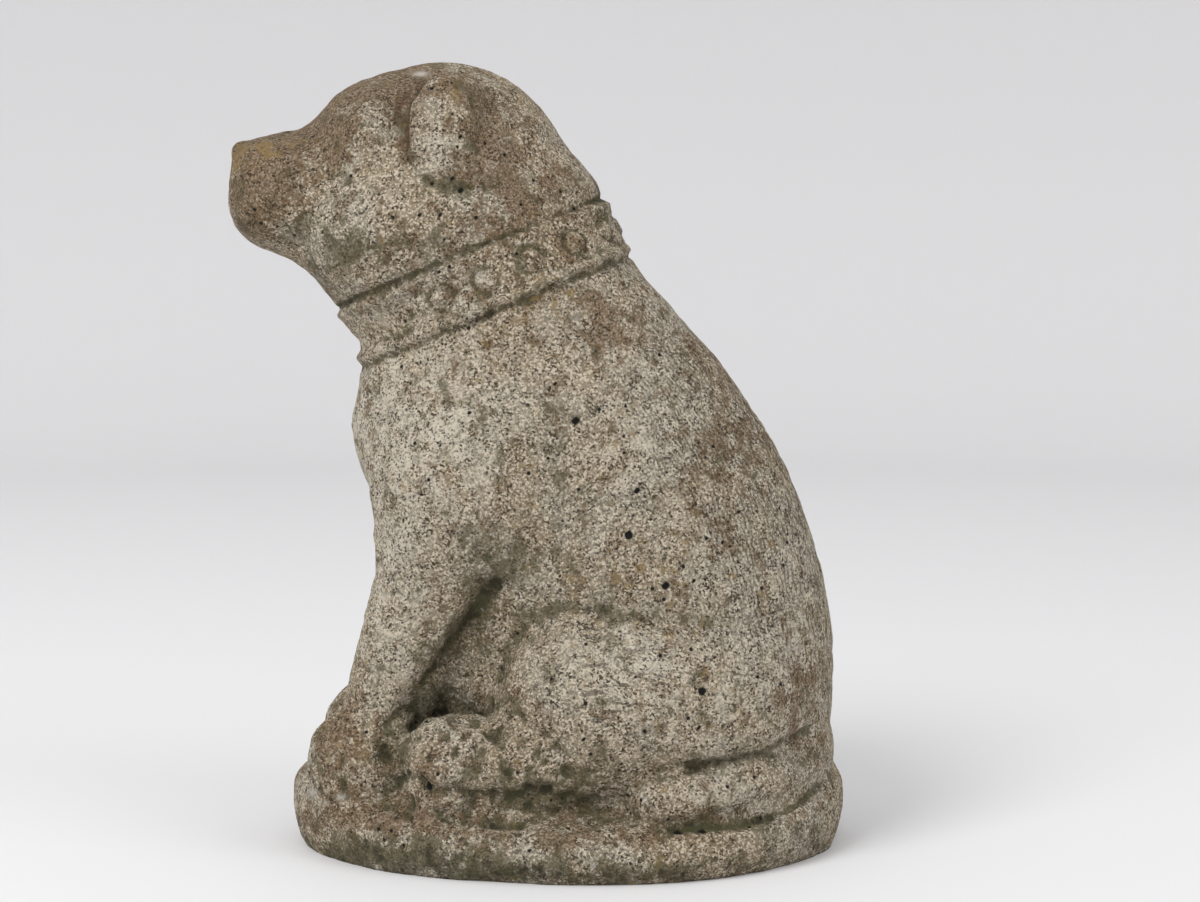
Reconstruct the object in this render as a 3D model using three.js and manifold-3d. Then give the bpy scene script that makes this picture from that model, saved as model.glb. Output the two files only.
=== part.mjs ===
// A seated bulldog on an oval base, cast in one piece.
// Millimetres. The dog faces -Y, its left flank is on +X and +Z is up.
// The origin is the centre of the base's flat underside.
//
// The dog's form is a field: a function that is negative inside the casting.
// Rounded lumps are joined softly, furrows are taken off as a height, and a
// mesh is drawn over the field's zero surface. The collar is a ring that
// follows that surface, with its studs, joined on before the base is cut flat.
import * as THREE from 'three';
import { mergeVertices } from 'three/addons/utils/BufferGeometryUtils.js';
import Module from 'manifold-3d';

// Overall sizes, in millimetres.
const HEIGHT = 400;
const BASE_HEIGHT = 32;
const BASE_LENGTH = 285;
const BASE_WIDTH = 213;
const BASE_EDGE_RADIUS = 13;
const BASE_UNDERCUT = 6;
const BASE_CROWN = 8;
const BASE_SIDE_DROP = 18;
const BASE_WIDEST = 14;

// The collar.
const COLLAR_WIDTH = 28.5;
const COLLAR_RELIEF = 2.0;
const COLLAR_DEPTH = 12;
const RIM_RELIEF = 1.0;
const RIM_WIDTH = 3.8;
const STUD_COUNT = 16;
const STUD_DIAMETER = 11;
const STUD_RELIEF = 1.8;
const STUD_STEPS = 8;
const COLLAR_STEPS = 2 * STUD_COUNT;

// The mesh: a fine net over the form, thinned where the form is plain.
const CELLS_HIGH = 84;
const DOG_TRIANGLES = 7000;
const FIRST_ERROR = 0.1;
const ERROR_GROWTH = 1.5;

// The figure is 92 units high above the base, and its forms are in units.
const FIGURE_UNITS = 92;
const U = (HEIGHT - BASE_HEIGHT) / FIGURE_UNITS;
const DETAIL = HEIGHT / 400;

// Rows up the trunk: height, chest, back and half width, in units.
const TRUNK = [
  [-10, -12.0, 32.6, 18.5],
  [0, -14.0, 33.3, 19.5],
  [12, -18.0, 34.3, 20.3],
  [24, -21.6, 33.5, 19.6],
  [36, -24.5, 30.0, 18.3],
  [41, -26.8, 27.7, 17.7],
  [46, -27.7, 24.9, 17.0],
  [51, -26.8, 21.5, 16.3],
  [56, -26.0, 17.8, 15.4],
  [66, -22.0, 8.5, 14.2],
  [74, -18.0, 1.0, 12.0],
];
const TRUNK_SQUARENESS = 2.25;
const TRUNK_PINCH = 0.3;

// The neck leans forward, and the collar sits square to it.
const NECK_LEAN = 22.6;
const COLLAR_AT = new THREE.Vector3(...at(0, -9.8, 64.6));
const NECK_AXIS = new THREE.Vector3(0, -Math.sin(radians(NECK_LEAN)), Math.cos(radians(NECK_LEAN)));
const NECK_BACK = new THREE.Vector3(0, Math.cos(radians(NECK_LEAN)), Math.sin(radians(NECK_LEAN)));
const SIDEWAYS = new THREE.Vector3(1, 0, 0);

// The tail lies round the left of the haunches, on the base.
const TAIL_PIECES = 8;
const TAIL_FROM = -6;
const TAIL_TURN = 82;

// A point of the figure in units, as millimetres.
function at(x, y, z) {
  return [x * U, y * U, BASE_HEIGHT + z * U];
}

function radians(degrees) {
  return degrees * Math.PI / 180;
}

function length(x, y, z = 0) {
  return Math.sqrt(x * x + y * y + z * z);
}

function clamp(value, low, high) {
  return Math.min(Math.max(value, low), high);
}

function smoothStep(value, from, to) {
  const t = clamp((value - from) / (to - from), 0, 1);
  return t * t * (3 - 2 * t);
}

function bump(distance, width) {
  return Math.exp(-((distance / width) ** 2));
}

// The lesser of two fields, rounded over k units where they meet.
function blend(a, b, k) {
  const width = k * U;
  const h = Math.max(width - Math.abs(a - b), 0) / width;
  return Math.min(a, b) - h * h * width / 4;
}

// An ellipsoid, squarer with power over 2, tilted about X.
function egg(centre, radiiInUnits, tilt = 0, power = 2) {
  const cos = Math.cos(radians(tilt));
  const sin = Math.sin(radians(tilt));
  const [rx, ry, rz] = radiiInUnits.map((r) => r * U);
  return (x, y, z) => {
    const ey = y - centre[1];
    const ez = z - centre[2];
    const ux = Math.abs((x - centre[0]) / rx);
    const uy = Math.abs((cos * ey + sin * ez) / ry);
    const uz = Math.abs((cos * ez - sin * ey) / rz);
    const reach = Math.max((ux ** power + uy ** power + uz ** power) ** (1 / power), 1e-6);
    const fall = power - 1;
    const slope = length(ux ** fall / rx, uy ** fall / ry, uz ** fall / rz) / reach ** fall;
    return (reach - 1) / Math.max(slope, 1e-6);
  };
}

// A round limb from a to b with end radii in units; spread widens it in X.
function limb(a, b, radiusA, radiusB, spread = 1) {
  const d = [(b[0] - a[0]) / spread, b[1] - a[1], b[2] - a[2]];
  const length2 = d[0] ** 2 + d[1] ** 2 + d[2] ** 2;
  return (x, y, z) => {
    const qx = (x - a[0]) / spread;
    const qy = y - a[1];
    const qz = z - a[2];
    const t = clamp((qx * d[0] + qy * d[1] + qz * d[2]) / length2, 0, 1);
    const away = length(qx - t * d[0], qy - t * d[1], qz - t * d[2]);
    return away - (radiusA + (radiusB - radiusA) * t) * U;
  };
}

// A smooth curve through one column of the trunk's rows.
function trunkCurve(column) {
  const heights = TRUNK.map((row) => row[0]);
  const values = TRUNK.map((row) => row[column]);
  const last = values.length - 1;
  const slopes = values.map((value, i) => {
    const a = Math.max(i - 1, 0);
    const b = Math.min(i + 1, last);
    return (values[b] - values[a]) / (heights[b] - heights[a]);
  });
  return (z) => {
    let i = 0;
    while (i < last - 1 && z > heights[i + 1]) i += 1;
    const h = heights[i + 1] - heights[i];
    const t = clamp((z - heights[i]) / h, 0, 1);
    const s = 1 - t;
    return (1 + 2 * t) * s * s * values[i] + t * s * s * h * slopes[i]
      + t * t * (3 - 2 * t) * values[i + 1] - t * t * s * h * slopes[i + 1];
  };
}

const chestAt = trunkCurve(1);
const backAt = trunkCurve(2);
const halfWidthAt = trunkCurve(3);

// Chest, flanks and back: a squarish oval at every height.
function trunk(x, y, z) {
  const row = (z - BASE_HEIGHT) / U;
  const chest = chestAt(row) * U;
  const back = backAt(row) * U;
  const depth = (back - chest) / 2;
  const along = y - (chest + back) / 2;
  const pinch = TRUNK_PINCH * (1 - smoothStep(row, 22, 40));
  const half = halfWidthAt(row) * U * (1 - pinch * clamp(-along / depth, 0, 1));
  const n = TRUNK_SQUARENESS;
  const reach = Math.max((Math.abs(x / half) ** n + Math.abs(along / depth) ** n) ** (1 / n), 1e-4);
  const side = length(x, along) * (1 - 1 / reach) * 0.93;
  const low = TRUNK[0][0];
  const high = TRUNK[TRUNK.length - 1][0];
  const cap = Math.abs(row - (low + high) / 2) - (high - low) / 2;
  return Math.max(side, cap * U);
}

// The oval base: widest behind the middle, rounded edge, crowned top.
function base(x, y, z) {
  const along = y - BASE_WIDEST;
  const semi = BASE_LENGTH / 2 + (along < 0 ? BASE_WIDEST : -BASE_WIDEST);
  const reach = Math.max(length(x / (BASE_WIDTH / 2), along / semi), 1e-4);
  const crown = BASE_HEIGHT + BASE_CROWN - BASE_SIDE_DROP * (x / (BASE_WIDTH / 2)) ** 2;
  const belt = crown * 0.55;
  const inset = BASE_UNDERCUT * (Math.max(belt - z, 0) / belt) ** 2;
  const side = length(x, along) * (1 - 1 / reach) + inset + BASE_EDGE_RADIUS;
  const over = z - crown + BASE_EDGE_RADIUS;
  const rounded = length(Math.max(side, 0), Math.max(over, 0)) - BASE_EDGE_RADIUS;
  return rounded + Math.min(Math.max(side, over), 0);
}

// Head.
const skull = egg(at(0, -15.8, 72.5), [15.3, 17.1, 19.5]);
const forehead = egg(at(0, -22.2, 79.6), [12.4, 10.4, 11.0], 0, 2.1);
const cheek = egg(at(7.6, -22.5, 70.5), [7, 9, 8]);
const jaw = limb(at(0, -36.4, 74), at(0, -24.4, 67.8), 6, 6, 1.35);
const muzzle = egg(at(0, -34.4, 75.6), [10.4, 8.6, 6.7], -3, 2.8);
const bridge = limb(at(0, -38.2, 79.3), at(0, -28, 79.5), 3.1, 5.2, 1.6);
const brow = egg(at(6.9, -24, 82.4), [6.3, 5.2, 5.8]);
const nose = egg(at(0, -40.8, 79.7), [3.7, 2.2, 2.4], 0, 2.6);

// Ears.
const earFlap = egg(at(11.9, -14.9, 82.4), [3, 5, 6.2], 8, 2.3);
const earRoot = egg(at(9.6, -14.6, 87), [3.2, 4.6, 3]);
const earFold = limb(at(14, -19.4, 79.5), at(11.2, -18.2, 87.5), 0.8, 0.8);

// Neck.
const throat = limb(at(0, -8, 60.9), at(0, -11.3, 68.6), 17, 16.4, 0.88);
const nape = egg(at(0, -8.6, 72.8), [11, 13, 9.5]);

// Body and legs.
const belly = egg(at(0, -5, 10), [12.4, 17.5, 20]);
const shoulder = egg(at(10, -11.8, 38), [7.9, 11.8, 15], -14);
const foreLeg = limb(at(9.2, -13.5, 36), at(10, -22.8, 11.5), 8.6, 5.2);
const paw = egg(at(10.4, -25, 3.8), [6.4, 7.8, 7.4], 0, 2.2);
const knee = egg(at(12.8, 3.8, 11.5), [11, 12.8, 12.4], 0, 2.15);
const thigh = egg(at(10.2, 14.5, 11.6), [11.4, 14.5, 12], 0, 2.15);
const hindFoot = limb(at(16, -14.4, 4.4), at(17.4, -2, 4.6), 6.2, 5.4);
const tail = tailPieces();

function tailPoint(t) {
  const turn = radians(TAIL_FROM + TAIL_TURN * t);
  return at(21.4 * Math.sin(turn), 5 + 25.4 * Math.cos(turn), 4.9 - 3.5 * t);
}

function tailPieces() {
  const pieces = [];
  for (let i = 0; i < TAIL_PIECES; i += 1) {
    const from = i / TAIL_PIECES;
    const to = (i + 1) / TAIL_PIECES;
    pieces.push(limb(tailPoint(from), tailPoint(to), 4.1 - 0.8 * from, 4.1 - 0.8 * to));
  }
  return pieces;
}

function head(x, y, z) {
  let d = blend(skull(x, y, z), forehead(x, y, z), 1.6);
  d = blend(d, cheek(x, y, z), 3);
  const lips = blend(muzzle(x, y, z), jaw(x, y, z), 1.4);
  d = blend(d, blend(lips, bridge(x, y, z), 1.4), 3);
  d = blend(d, brow(x, y, z), 2.2);
  return blend(d, nose(x, y, z), 0.8);
}

function ear(x, y, z) {
  const lobe = blend(earFlap(x, y, z), earRoot(x, y, z), 2);
  return blend(lobe, earFold(x, y, z), 0.6);
}

// A soft furrow along a line of points, as a height.
function furrow(points, depth, width) {
  const parts = [];
  for (let i = 1; i < points.length; i += 1) {
    parts.push(limb(points[i - 1], points[i], 0, 0));
  }
  return (x, y, z) => {
    const near = Math.min(...parts.map((part) => part(x, y, z)));
    return near > 4 * width ? 0 : -depth * bump(near, width);
  };
}

// Furrows of the head, the same on both sides.
const HEAD_FURROWS = [
  furrow([at(0, -44, 72.2), at(6, -43, 71.6), at(10.5, -38, 70.2), at(11.5, -31.5, 69)], 2.0, 2.6),
  furrow([at(0, -44.5, 79), at(0, -44.5, 73)], 1.6, 2.0),
  furrow([at(7, -28.4, 88.6), at(10, -28.9, 84), at(11.4, -28.2, 80), at(12, -27, 77)], 1.8, 3.2),
  furrow([at(9.6, -17.4, 89.6), at(12.6, -19.6, 85.4), at(13.8, -21.4, 79)], 3, 3),
  furrow([at(11.6, -9.4, 86.6), at(13.6, -8.8, 83), at(14.2, -8.8, 80)], 3.2, 5.5),
  furrow([at(13.8, -18.4, 76.6), at(14.6, -14.8, 75.4), at(14.4, -11, 76.4)], 1.8, 3.4),
];

// Furrows between the toes of one foot. Each runs from the top of the foot
// over its front to the ground, spread a little wider as it goes down.
function toeFurrows(middleX, spread, top, front, foot) {
  return spread.map((out) => furrow([
    at(middleX + out * 0.75, ...top),
    at(middleX + out, ...front),
    at(middleX + out, ...foot),
  ], 2.2, 2.8));
}

// Furrows low down on both sides: behind the foreleg, over the haunch and
// round the hind foot.
const LOW_FURROWS = [
  furrow([at(16, -9, 26.8), at(14, -12.3, 22), at(13.6, -15.6, 17), at(14.6, -19.4, 12), at(16, -22, 7)], 4, 6),
  furrow([at(15, -8.4, 15.6), at(15, -7.3, 19.5), at(16.4, -4.6, 22.8), at(18, -0.8, 24.6), at(19.4, 6, 24.6),
    at(18.6, 17, 22.6)], 3, 6),
  furrow([at(19, -20, 4.2), at(22, -16.6, 2.8), at(22.4, -8, 2.2), at(22.4, 1, 1.8), at(23.6, 7, 2)], 3, 4.5),
  furrow([at(19.4, -9.6, 11), at(21.8, -8.2, 8.4), at(22.8, -7.4, 5)], 2, 4),
];

// Furrows over and under the tail.
const TAIL_FURROWS = [
  furrow([at(22.4, 9.4, 4.6), at(20.6, 16, 5.6), at(19, 21, 6.6), at(16.4, 26, 7.5), at(12, 30.2, 8.2)], 2.8, 4),
  furrow([at(23.6, 9.6, -1), at(22.6, 16, -1.8), at(21, 21, -1.6), at(18.4, 25.4, -1), at(15.6, 28.6, -0.4),
    at(10, 32, 0.8)], 2.4, 4),
];

const TOE_FURROWS = [
  ...toeFurrows(10.4, [-3.1, 0, 3.1], [-29.6, 11], [-32.4, 7], [-33.2, 1]),
  ...toeFurrows(15.8, [-2.8, 0.8, 4], [-17.4, 11], [-20.4, 7.4], [-20.8, 2]),
];

// Height of the carved furrows, the same on both sides but for the tail's.
function furrows(x, y, z) {
  const side = Math.abs(x);
  let height = 0;
  if (z > HEIGHT * 0.7) {
    for (const line of HEAD_FURROWS) height += line(side, y, z) * DETAIL;
  }
  if (z < HEIGHT * 0.24) {
    for (const line of TOE_FURROWS) height += line(side, y, z) * DETAIL;
    for (const line of TAIL_FURROWS) height += line(x, y, z) * DETAIL;
  }
  if (z < HEIGHT * 0.4) {
    for (const line of LOW_FURROWS) height += line(side, y, z) * DETAIL;
  }
  return height;
}

// Dog and base without the collar. All but the tail is the same on both sides.
function casting(x, y, z) {
  const side = Math.abs(x);
  let d = blend(trunk(x, y, z), belly(x, y, z), 3);
  d = blend(d, shoulder(side, y, z), 5);
  d = blend(d, blend(foreLeg(side, y, z), paw(side, y, z), 1.6), 3);
  d = blend(d, blend(knee(side, y, z), thigh(side, y, z), 5), 2.2);
  d = blend(d, blend(throat(x, y, z), nape(x, y, z), 2), 2.4);
  d = blend(d, head(side, y, z), 1);
  d = blend(d, hindFoot(side, y, z), 1.6);
  d = blend(d, ear(side, y, z), 0.8);
  d = blend(d, base(x, y, z), 2.4);
  d = blend(d, Math.min(...tail.map((piece) => piece(x, y, z))), 1);
  return Math.max(d - furrows(x, y, z), -z - BASE_HEIGHT / 2);
}

// The box that the grid fills, a little larger than the casting.
function gridBox() {
  const halfWidth = Math.max(BASE_WIDTH / 2, 25 * U) + 14;
  const front = Math.max(BASE_LENGTH / 2, 46 * U) + 14;
  const back = Math.max(BASE_LENGTH / 2, 36 * U) + 14;
  return [[-halfWidth, -front, -BASE_HEIGHT / 2 - 20], [halfWidth, back, HEIGHT + 20]];
}

// One point in every cell that the surface crosses, and a four-sided face
// round every grid edge that it crosses.
function netOver(cell) {
  const [low, high] = gridBox();
  const n = low.map((value, i) => Math.ceil((high[i] - value) / cell) + 1);
  const stride = [n[1] * n[2], n[2], 1];
  const values = new Float64Array(n[0] * n[1] * n[2]);
  for (let i = 0; i < values.length; i += 1) {
    const x = Math.floor(i / stride[0]);
    const y = Math.floor(i / stride[1]) % n[1];
    const z = i % n[2];
    values[i] = casting(low[0] + x * cell, low[1] + y * cell, low[2] + z * cell);
  }
  joinDiagonals(values, n, stride);
  const sums = new Map();
  const faces = [];
  for (let i = 0; i < values.length; i += 1) {
    const place = [Math.floor(i / stride[0]), Math.floor(i / stride[1]) % n[1], i % n[2]];
    for (let axis = 0; axis < 3; axis += 1) {
      if (place[axis] === n[axis] - 1) continue;
      const a = values[i];
      const b = values[i + stride[axis]];
      if ((a < 0) === (b < 0)) continue;
      const crossing = place.slice();
      crossing[axis] += a / (a - b);
      const u = (axis + 1) % 3;
      const v = (axis + 2) % 3;
      const cells = [i, i - stride[u], i - stride[u] - stride[v], i - stride[v]];
      for (const key of cells) {
        const sum = sums.get(key) || [0, 0, 0, 0];
        crossing.forEach((value, k) => { sum[k] += value; });
        sum[3] += 1;
        sums.set(key, sum);
      }
      faces.push(a < 0 ? cells : cells.reverse());
    }
  }
  const names = new Map();
  const points = [];
  for (const [key, sum] of sums) {
    names.set(key, points.length);
    points.push(low.map((value, k) => value + cell * sum[k] / sum[3]));
  }
  const triangles = [];
  for (const face of faces) {
    const [a, b, c, d] = face.map((key) => names.get(key));
    const first = gap(points[a], points[c]) <= gap(points[b], points[d]);
    triangles.push(...(first ? [[a, b, c], [a, c, d]] : [[a, b, d], [b, c, d]]));
  }
  return { points, triangles };
}

// Where two corners across a grid square are inside and the other two are
// not, the nearer one of those is put just inside, so that the net is clean.
function joinDiagonals(values, n, stride) {
  for (let changed = true; changed;) {
    changed = false;
    for (let i = 0; i < values.length; i += 1) {
      const place = [Math.floor(i / stride[0]), Math.floor(i / stride[1]) % n[1], i % n[2]];
      for (let axis = 0; axis < 3; axis += 1) {
        const [u, v] = [(axis + 1) % 3, (axis + 2) % 3];
        if (place[u] === n[u] - 1 || place[v] === n[v] - 1) continue;
        const [a, b, c, d] = [i, i + stride[u], i + stride[u] + stride[v], i + stride[v]];
        const [inA, inB, inC, inD] = [values[a] < 0, values[b] < 0, values[c] < 0, values[d] < 0];
        if (inA !== inC || inB !== inD || inA === inB) continue;
        const outer = inA ? [b, d] : [a, c];
        values[values[outer[0]] <= values[outer[1]] ? outer[0] : outer[1]] = -1e-3;
        changed = true;
      }
    }
  }
}

function gap(a, b) {
  return length(a[0] - b[0], a[1] - b[1], a[2] - b[2]);
}

function middle(a, b) {
  return a.map((value, i) => (value + b[i]) / 2);
}

// The field and its slope at a point.
function sample(p) {
  const e = 0.4;
  const [x, y, z] = p;
  const slope = [
    (casting(x + e, y, z) - casting(x - e, y, z)) / (2 * e),
    (casting(x, y + e, z) - casting(x, y - e, z)) / (2 * e),
    (casting(x, y, z + e) - casting(x, y, z - e)) / (2 * e),
  ];
  return { value: casting(x, y, z), slope };
}

// A point moved on to the surface, in a few short steps.
function settle(point, longest) {
  let p = point;
  for (let i = 0; i < 3; i += 1) {
    const { value, slope } = sample(p);
    const steep = Math.max(slope[0] ** 2 + slope[1] ** 2 + slope[2] ** 2, 0.05);
    const size = Math.abs(value) / Math.sqrt(steep);
    const share = (value / steep) * Math.min(1, longest / Math.max(size, 1e-9));
    p = p.map((coordinate, k) => coordinate - slope[k] * share);
  }
  return p;
}

// A face's plane as ten sums, weighted by its area, that give the squared
// distance of any point from it. Sums of such lists add up.
function planeSums([a, b, c]) {
  const normal = faceNormal(a, b, c);
  const size = length(...normal);
  const weight = size < 1e-12 ? 0 : 1 / (2 * size);
  const plane = [...normal, -(normal[0] * a[0] + normal[1] * a[1] + normal[2] * a[2])];
  const sums = [];
  for (let i = 0; i < 4; i += 1) {
    for (let k = i; k < 4; k += 1) sums.push(plane[i] * plane[k] * weight);
  }
  return sums;
}

function faceNormal(a, b, c) {
  const [ux, uy, uz] = [b[0] - a[0], b[1] - a[1], b[2] - a[2]];
  const [vx, vy, vz] = [c[0] - a[0], c[1] - a[1], c[2] - a[2]];
  return [uy * vz - uz * vy, uz * vx - ux * vz, ux * vy - uy * vx];
}

function errorAt(q, [x, y, z]) {
  return q[0] * x * x + q[4] * y * y + q[7] * z * z + q[9]
    + 2 * (q[1] * x * y + q[2] * x * z + q[5] * y * z + q[3] * x + q[6] * y + q[8] * z);
}

// The faces round each point.
function facesRound(points, triangles) {
  const around = points.map(() => []);
  triangles.forEach((corners, face) => corners.forEach((point) => around[point].push(face)));
  return around;
}

// True when moving a corner to a new place would turn no face over.
function staysUpright(mesh, faces, moved, other, place) {
  return faces.every((face) => {
    const corners = mesh.triangles[face];
    if (corners.includes(other)) return true;
    const before = faceNormal(...corners.map((point) => mesh.points[point]));
    const after = faceNormal(...corners.map((point) => (point === moved ? place : mesh.points[point])));
    const along = before[0] * after[0] + before[1] * after[1] + before[2] * after[2];
    return along > 0.3 * length(...before) * length(...after);
  });
}

// One pass that merges the ends of every edge whose loss is under the limit.
function thinOnce(mesh, sums, limit, wanted) {
  const around = facesRound(mesh.points, mesh.triangles);
  const held = new Uint8Array(mesh.points.length);
  const gone = new Map();
  const ring = (point) => new Set(around[point].flatMap((face) => mesh.triangles[face]));
  let left = mesh.triangles.length;
  for (const [a, b] of mesh.triangles.flatMap(([p, q, r]) => [[p, q], [q, r], [r, p]])) {
    if (a > b || held[a] || held[b] || left <= wanted) continue;
    const both = sums[a].map((value, i) => value + sums[b][i]);
    const places = [middle(mesh.points[a], mesh.points[b]), mesh.points[a], mesh.points[b]];
    const losses = places.map((place) => errorAt(both, place));
    const place = places[losses.indexOf(Math.min(...losses))];
    if (Math.min(...losses) > limit) continue;
    const ringA = ring(a);
    const shared = [...ring(b)].filter((point) => ringA.has(point));
    if (shared.length !== 4) continue;
    if (!staysUpright(mesh, around[a], a, b, place) || !staysUpright(mesh, around[b], b, a, place)) continue;
    for (const point of [...ringA, ...ring(b)]) held[point] = 1;
    mesh.points[a] = place;
    sums[a] = both;
    gone.set(b, a);
    left -= 2;
  }
  const triangles = mesh.triangles.map((corners) => corners.map((point) => gone.get(point) ?? point));
  return { points: mesh.points, triangles: triangles.filter(([a, b, c]) => a !== b && b !== c && c !== a) };
}

// Edges are merged, the least loss first, until few enough faces are left.
function thin(net, wanted) {
  const faceSums = net.triangles.map((corners) => planeSums(corners.map((point) => net.points[point])));
  const sums = facesRound(net.points, net.triangles).map((faces) => faces.reduce(
    (total, face) => total.map((value, i) => value + faceSums[face][i]),
    new Array(10).fill(0),
  ));
  let mesh = net;
  for (let limit = FIRST_ERROR; mesh.triangles.length > wanted && limit < 1e6; limit *= ERROR_GROWTH) {
    mesh = thinOnce(mesh, sums, limit, wanted);
  }
  return mesh;
}

// The dog and its base as a fine net, settled on the surface and thinned.
function dogAndBase() {
  const cell = HEIGHT / CELLS_HIGH;
  const net = netOver(cell);
  net.points = net.points.map((point) => settle(point, cell / 2));
  return thin(net, DOG_TRIANGLES);
}

function toGeometry(points, triangles) {
  const geometry = new THREE.BufferGeometry();
  geometry.setAttribute('position', new THREE.Float32BufferAttribute(points.flat(), 3));
  geometry.setIndex(triangles.flat());
  return geometry;
}

// How far the dog's surface lies from the neck's axis, up it and round it.
function neckRadius(up, angle) {
  let inner = 5 * U;
  let outer = 26 * U;
  for (let i = 0; i < 24; i += 1) {
    const radius = (inner + outer) / 2;
    if (casting(...neckPoint(up, angle, radius).toArray()) < 0) inner = radius;
    else outer = radius;
  }
  return inner;
}

function neckOutward(angle) {
  return NECK_BACK.clone().multiplyScalar(Math.cos(angle)).addScaledVector(SIDEWAYS, Math.sin(angle));
}

function neckPoint(up, angle, radius) {
  return COLLAR_AT.clone().addScaledVector(NECK_AXIS, up).addScaledVector(neckOutward(angle), radius);
}

// The band's section: a flat strap between two rounded rims, as heights
// over the neck, from its lower edge to its upper one.
function collarSection() {
  const half = COLLAR_WIDTH / 2;
  const rimTop = COLLAR_RELIEF + RIM_RELIEF;
  const lower = [
    [-half, -COLLAR_DEPTH],
    [-half, COLLAR_RELIEF],
    [-half + RIM_WIDTH * 0.3, rimTop],
    [-half + RIM_WIDTH * 0.7, rimTop],
    [-half + RIM_WIDTH, COLLAR_RELIEF],
  ];
  return lower.concat(lower.map(([up, height]) => [-up, height]).reverse());
}

// A closed ring round the neck with the band's section.
function collarRing() {
  const section = collarSection();
  const rows = section.length;
  const points = [];
  const triangles = [];
  for (let i = 0; i < COLLAR_STEPS; i += 1) {
    const angle = 2 * Math.PI * (i + 0.5) / COLLAR_STEPS;
    for (const [up, height] of section) {
      points.push(neckPoint(up, angle, neckRadius(up, angle) + height).toArray());
    }
    const next = ((i + 1) % COLLAR_STEPS) * rows;
    for (let row = 0; row < rows; row += 1) {
      const after = (row + 1) % rows;
      const [a, b, c, d] = [i * rows + row, i * rows + after, next + after, next + row];
      triangles.push([a, b, c], [a, c, d]);
    }
  }
  return toGeometry(points, triangles);
}

// A low round stud, half sunk in the band.
function collarStud(angle) {
  const stud = new THREE.SphereGeometry(1, STUD_STEPS, STUD_STEPS / 2);
  stud.scale(STUD_DIAMETER / 2, STUD_RELIEF, STUD_DIAMETER / 2);
  const up = new THREE.Vector3(0, 1, 0);
  stud.applyQuaternion(new THREE.Quaternion().setFromUnitVectors(up, neckOutward(angle)));
  const strapEdge = COLLAR_WIDTH / 2 - RIM_WIDTH;
  const strap = (neckRadius(strapEdge, angle) + neckRadius(-strapEdge, angle)) / 2 + COLLAR_RELIEF;
  return stud.translate(...neckPoint(0, angle, strap).toArray());
}

const manifold = await Module();
manifold.setup();

function toSolid(geometry) {
  geometry.deleteAttribute('normal');
  geometry.deleteAttribute('uv');
  const merged = mergeVertices(geometry, 1e-4);
  return new manifold.Manifold(new manifold.Mesh({
    numProp: 3,
    vertProperties: new Float32Array(merged.getAttribute('position').array),
    triVerts: new Uint32Array(merged.getIndex().array),
  }));
}

// The casting: dog and base with the collar on, cut flat underneath.
function statueGeometry() {
  const { points, triangles } = dogAndBase();
  let solid = toSolid(toGeometry(points, triangles)).add(toSolid(collarRing()));
  for (let i = 0; i < STUD_COUNT; i += 1) {
    solid = solid.add(toSolid(collarStud(2 * Math.PI * i / STUD_COUNT)));
  }
  const ground = new THREE.BoxGeometry(BASE_WIDTH * 2, BASE_LENGTH * 3, BASE_HEIGHT * 4);
  ground.translate(0, 0, -BASE_HEIGHT * 2);
  const { vertProperties, triVerts } = solid.subtract(toSolid(ground)).getMesh();
  const geometry = new THREE.BufferGeometry();
  geometry.setAttribute('position', new THREE.BufferAttribute(vertProperties, 3));
  geometry.setIndex(new THREE.BufferAttribute(triVerts, 1));
  geometry.computeVertexNormals();
  return geometry;
}

const castStone = new THREE.MeshStandardMaterial({ color: 0xb3ab98, roughness: 0.95, metalness: 0 });
const statue = new THREE.Mesh(statueGeometry(), castStone);
statue.name = 'bulldog_statue';

const group = new THREE.Group();
group.name = 'bulldog_garden_statue';
group.add(statue);

export default group;
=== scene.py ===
"""The finish of a seated garden bulldog in weathered cast stone.

The statue is sculpted here a second time, finer, as a field: a function of
position that is negative inside the stone. Lengths in the sculpting part are
millimetres, and the mesh is made in metres. The dog faces -Y, its left flank
is on +X, and the origin is the centre of the base's underside.
"""

import bmesh
import bpy
import numpy as np
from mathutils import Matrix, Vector


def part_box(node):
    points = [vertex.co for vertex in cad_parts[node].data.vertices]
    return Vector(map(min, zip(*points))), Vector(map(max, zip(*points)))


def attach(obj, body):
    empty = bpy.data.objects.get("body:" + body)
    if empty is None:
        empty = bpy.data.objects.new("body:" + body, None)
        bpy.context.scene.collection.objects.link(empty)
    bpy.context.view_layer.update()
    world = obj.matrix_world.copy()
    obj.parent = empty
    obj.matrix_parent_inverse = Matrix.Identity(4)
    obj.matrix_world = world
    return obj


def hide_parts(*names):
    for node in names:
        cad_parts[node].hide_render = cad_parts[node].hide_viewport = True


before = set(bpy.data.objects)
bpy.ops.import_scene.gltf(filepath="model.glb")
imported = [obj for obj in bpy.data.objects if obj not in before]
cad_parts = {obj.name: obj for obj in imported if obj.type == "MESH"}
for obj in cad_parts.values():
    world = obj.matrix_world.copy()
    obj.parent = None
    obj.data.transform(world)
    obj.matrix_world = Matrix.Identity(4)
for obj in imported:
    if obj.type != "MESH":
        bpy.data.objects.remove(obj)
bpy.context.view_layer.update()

MM = 0.001
NODE = "bulldog_statue"
RNG = np.random.default_rng(11)

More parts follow.
